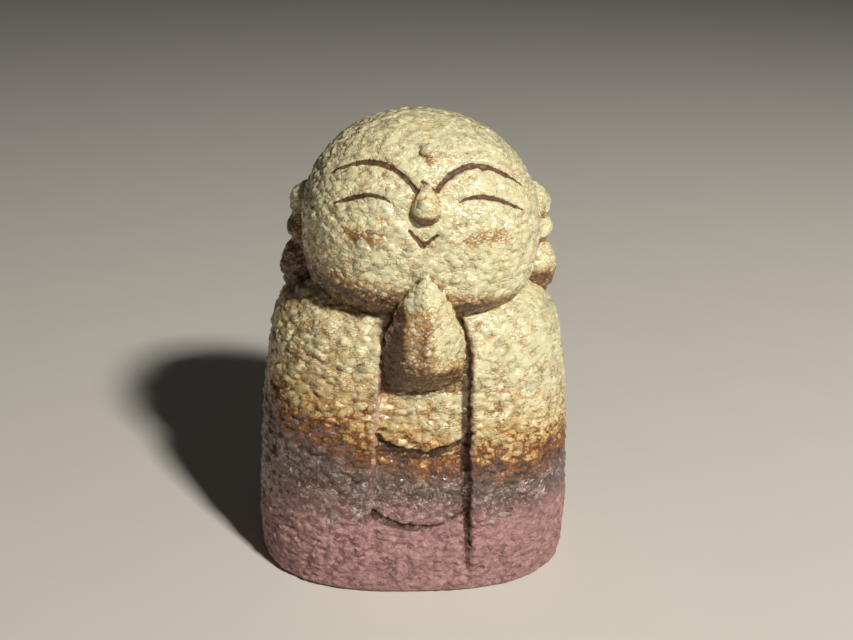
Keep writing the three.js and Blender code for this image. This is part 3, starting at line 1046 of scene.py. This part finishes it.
def stoneware_finish(colours):
    """Ash glaze that turns to rust, a dark band that sparkles with gloss and painted silver glints,
    and bare pink clay further down.
    """
    finish = Finish("glazed_stoneware_finish")
    place = finish.add("ShaderNodeTexCoord").outputs["Object"]
    x, _, z = (Number(finish, socket) for socket in finish.add(
        "ShaderNodeSeparateXYZ", sockets={"Vector": place},
    ).outputs)
    written = ("crease", "iron_and_shade", "edge", "carved", "shade", "rim", "skin")
    fields = {name: finish.attribute(name) for name in written}
    crease, iron_and_shade, skin = fields["crease"], fields["iron_and_shade"], fields["skin"]
    broad, patch, speck = (finish.grain(place, name) - 0.5 for name in ("broad", "patch", "speck"))
    robe_rim, robe_own, robe_tilt = finish.cells(place, *ROBE_CELLS)
    skin_rim, skin_own, skin_tilt = finish.cells(place, *SKIN_CELLS)
    robe = 1 - skin
    own = robe_own * robe + skin_own * skin
    gap = robe_rim.between(0.24, 0.0) * robe + skin_rim.between(0.24, 0.0) * skin
    border = fields["edge"].most(fields["rim"])
    fields.update(broad=broad, patch=patch, speck=speck, own=own, gap=gap, border=border)
    marks = {name: glaze_mark(fields, name) for name in GLAZE_MARKS}
    broken = finish.grain(place, "broken")
    flat_place = finish.vector("MULTIPLY", place, (1.0, 1.0, 2.3))
    stroke = (finish.grain(flat_place, "stroke") - 0.5).size().between(0.034, 0.006)
    fine_stroke = (finish.grain(flat_place, "fine stroke") - 0.5).size().between(0.045, 0.008)

    # Height above the firing line in millimetres, which climbs at the figure's right-hand side.
    left = (x * -200.0).most(0.0) + x.between(-0.014, -0.024) * 6.0
    climb = z.between(0.034, 0.074) * left
    level = (z - colours.firing_line) * 1000.0 - climb
    fray = level.between(-14.0, 3.0) * 0.7 + 0.3
    rough = patch * 30.0 + speck * 18.0 + (own - 0.5) * 11.0 - crease * 16.0 - gap * 7.5
    level = level + broad * 9.0 + rough * fray
    glazed = level.between(-6.0, 6.0)
    dark_band = level.between(-6.0, -13.0)
    bare = level.between(-22.0, -34.0)
    stops = [(place, getattr(colours, name)) for place, name in BAND_STOPS]
    paint = finish.ramp((level + BAND_REACH) * (0.5 / BAND_REACH), stops)

    # Ochre and rust in the marks of the glaze.
    thin = level.between(36.0, 4.0) * 0.13 - x * (2.6 - skin * 2.1) - skin * 0.10
    stain = gap * 0.16 + crease * 0.5 + patch * 1.9 + broad * 0.9 + speck * 0.9
    stain = stain + (stroke + fine_stroke) * 0.2 + thin
    upper = z.between(0.082, 0.112) * (0.6 + x * 5.5).between(0.0, 1.0)
    stain = (stain - upper * 0.14).between(-0.02, 0.56) * glazed * (1 - skin * 0.14)
    drawn = (broken + patch * 0.8 + crease * 0.15 + thin * 0.15).between(0.47, 0.56)
    fine_drawn = (broken - patch * 0.5 + crease * 0.15 + thin * 0.15).between(0.53, 0.63)
    thread = (stroke * drawn).most(fine_stroke * fine_drawn * 0.85)
    shown = 0.78 - skin.most(upper) * 0.46 + speck

    # Iron brown with painted shade, worn edges and carved lines.
    brown = marks["brown"] * iron_and_shade.between(0.05, 0.3) * glazed
    golden = finish.blend(marks["golden"], colours.rust, colours.ochre)
    worn = marks["worn"] * border.between(0.05, 0.4)
    inked = marks["inked"]
    ink = finish.blend(0.16 + patch * 1.6, colours.umber, colours.rust)

    # The dark band and the bare clay, with painted silver glints.
    sooty = marks["sooty"] * level.between(-6.0, -16.0)
    # Painted highlight: silver glints on the facets of the dark band.
    painted_glint = marks["painted_glint"] * dark_band * level.between(-36.0, -24.0)
    dusty = marks["dusty"] * level.between(-16.0, -30.0)

    # Each colour goes on over the ones before it.
    for share, colour in (
        (stain * 0.72, colours.ochre),
        (thread * glazed * shown, colours.rust),
        (marks["pit"] * glazed * 0.7, colours.rust),
        # Brown and dark also lay down the painted shade that their field holds.
        (brown * 0.88, golden),
        (marks["dark"] * glazed * 0.93, colours.umber),
        (worn * (0.25 + fields["rim"] * 0.45), colours.clay),
        # Painted shade by the opening's right edge and under the hems.
        (marks["shaded"] * 0.88, colours.umber),
        (inked * 0.95, ink),
        (sooty * 0.45, colours.umber),
        (painted_glint * 0.62, colours.silver),
        (dusty * 0.35, colours.mauve),
    ):
        paint = finish.blend(share, paint, colour)

    # Shine and fine relief.
    silver = dark_band * level.between(-34.0, -21.0)
    roughness = 0.22 + bare * 0.34 + stain * 0.10 + silver * 0.06 + inked * 0.30
    grit = finish.grain(place, "grit")
    fine = skin.most(level.between(-12.0, -24.0))
    tilt = (robe_tilt * (1 - fine) + skin_tilt * fine) * 1000.0
    coarse = 1 - skin * 0.65
    step = gap * broken.between(0.35, 0.6)
    grain = grit * (0.20 + silver * 0.25) - thread * 0.14 - fine_stroke * 0.10
    height = tilt * (0.62 + silver * 0.6 + bare * 0.3) - step * 0.22 + grain * coarse
    bump = finish.add("ShaderNodeBump", sockets={
        "Strength": 0.85, "Distance": MM, "Height": height,
    })
    return finish.surface({
        "Base Color": paint, "Roughness": roughness, "Normal": bump.outputs["Normal"],
        "Metallic": silver * 0.4, "Coat Weight": (1 - bare) * (1 - inked) * 0.3,
        "Coat Roughness": 0.16,
    })


def floor_finish(colour):
    """Plain pale board with the faintest mottling."""
    finish = Finish("pale_floor_finish")
    place = finish.add("ShaderNodeTexCoord").outputs["Object"]
    mottle = finish.grain(place, "floor")
    darker = tuple(channel * 0.94 for channel in colour)
    return finish.surface({
        "Base Color": finish.blend(mottle, colour, darker), "Roughness": 0.62 + mottle * 0.1,
    })


# Floor, lights and camera.

def add_floor(stage):
    clear_selection()
    bpy.ops.mesh.primitive_plane_add(size=FLOOR_SIZE, location=(0, 0, 0))
    floor = bpy.context.object
    floor.name = "pale_floor"
    floor.data.materials.append(floor_finish(stage.floor_colour))


def add_lamp(name, power):
    """Square area light that faces the figure."""
    place, size, colour = LIGHTS[name]
    clear_selection()
    bpy.ops.object.light_add(type="AREA", location=place)
    lamp = bpy.context.object
    lamp.name = name
    lamp.data.size = size
    lamp.data.energy = power
    lamp.data.color = colour
    aim = Vector(LIGHTS_AIM) - Vector(place)
    lamp.rotation_euler = aim.to_track_quat("-Z", "Y").to_euler()


def add_camera(stage):
    turn, pitch, roll = stage.camera_azimuth, stage.camera_pitch, stage.camera_roll
    ahead = Vector((-math.sin(turn), math.cos(turn), 0.0))
    right = Vector((math.cos(turn), math.sin(turn), 0.0))
    look = ahead * math.cos(pitch) - Vector((0.0, 0.0, math.sin(pitch)))
    up = right.cross(look)
    tilted_right = right * math.cos(roll) + up * math.sin(roll)
    tilted_up = up * math.cos(roll) - right * math.sin(roll)
    clear_selection()
    bpy.ops.object.camera_add(location=stage.camera_place)
    camera = bpy.context.object
    camera.name = "photo_camera"
    axes = Matrix((tilted_right, tilted_up, -look)).transposed()
    camera.matrix_world = Matrix.Translation(Vector(stage.camera_place)) @ axes.to_4x4()
    camera.data.lens = stage.focal_length
    camera.data.sensor_width = 36.0
    camera.data.sensor_fit = "HORIZONTAL"
    camera.data.clip_start = 0.01
    camera.data.clip_end = 50.0
    bpy.context.scene.camera = camera


def light_room(strength):
    world = bpy.data.worlds.new("pale_room")
    world.use_nodes = True
    back = world.node_tree.nodes["Background"]
    back.inputs["Color"].default_value = ROOM_COLOUR
    back.inputs["Strength"].default_value = strength
    bpy.context.scene.world = world


# Operators and panel.

class JIZO_OT_figure(bpy.types.Operator):
    """Model the glazed figure over its solid"""

    bl_idname = "jizo.figure"
    bl_label = "Glazed figure"

    def execute(self, context):
        figure = model_figure(context.scene.jizo_sizes)
        figure.data.materials.clear()
        figure.data.materials.append(stoneware_finish(context.scene.jizo_glaze))
        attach(figure, "root")
        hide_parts("jizo_figure")
        return {"FINISHED"}


class JIZO_OT_stage(bpy.types.Operator):
    """Set the pale floor, the lights and the camera"""

    bl_idname = "jizo.stage"
    bl_label = "Floor, lights and camera"

    def execute(self, context):
        stage = context.scene.jizo_stage
        add_floor(stage)
        add_lamp("key_light", stage.key_power)
        add_lamp("fill_light", stage.fill_power)
        light_room(stage.room_light)
        add_camera(stage)
        context.scene.view_settings.view_transform = "Standard"
        return {"FINISHED"}


class JIZO_PT_panel(bpy.types.Panel):
    """Sizes, glaze colours and stage of the jizo figure"""

    bl_idname = "JIZO_PT_panel"
    bl_label = "Jizo"
    bl_space_type = "VIEW_3D"
    bl_region_type = "UI"
    bl_category = "Jizo"

    def draw(self, context):
        groups = (
            ("jizo_sizes", "jizo.figure"), ("jizo_glaze", None), ("jizo_stage", "jizo.stage"),
        )
        for group, operator in groups:
            box = self.layout.box()
            settings = getattr(context.scene, group)
            for name in settings.__annotations__:
                box.prop(settings, name)
            if operator:
                box.operator(operator)


GROUPS = {"jizo_sizes": JizoSizes, "jizo_glaze": JizoGlaze, "jizo_stage": JizoStage}
CLASSES = (*GROUPS.values(), JIZO_OT_figure, JIZO_OT_stage, JIZO_PT_panel)


def register():
    for item in CLASSES:
        bpy.utils.register_class(item)
    for name, group in GROUPS.items():
        setattr(bpy.types.Scene, name, PointerProperty(type=group))


def unregister():
    for name in GROUPS:
        delattr(bpy.types.Scene, name)
    for item in reversed(CLASSES):
        bpy.utils.unregister_class(item)


def main():
    """Makes the figure and its stage."""
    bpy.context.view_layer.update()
    register()
    bpy.ops.jizo.figure()
    bpy.ops.jizo.stage()


if __name__ == "__main__":
    main()
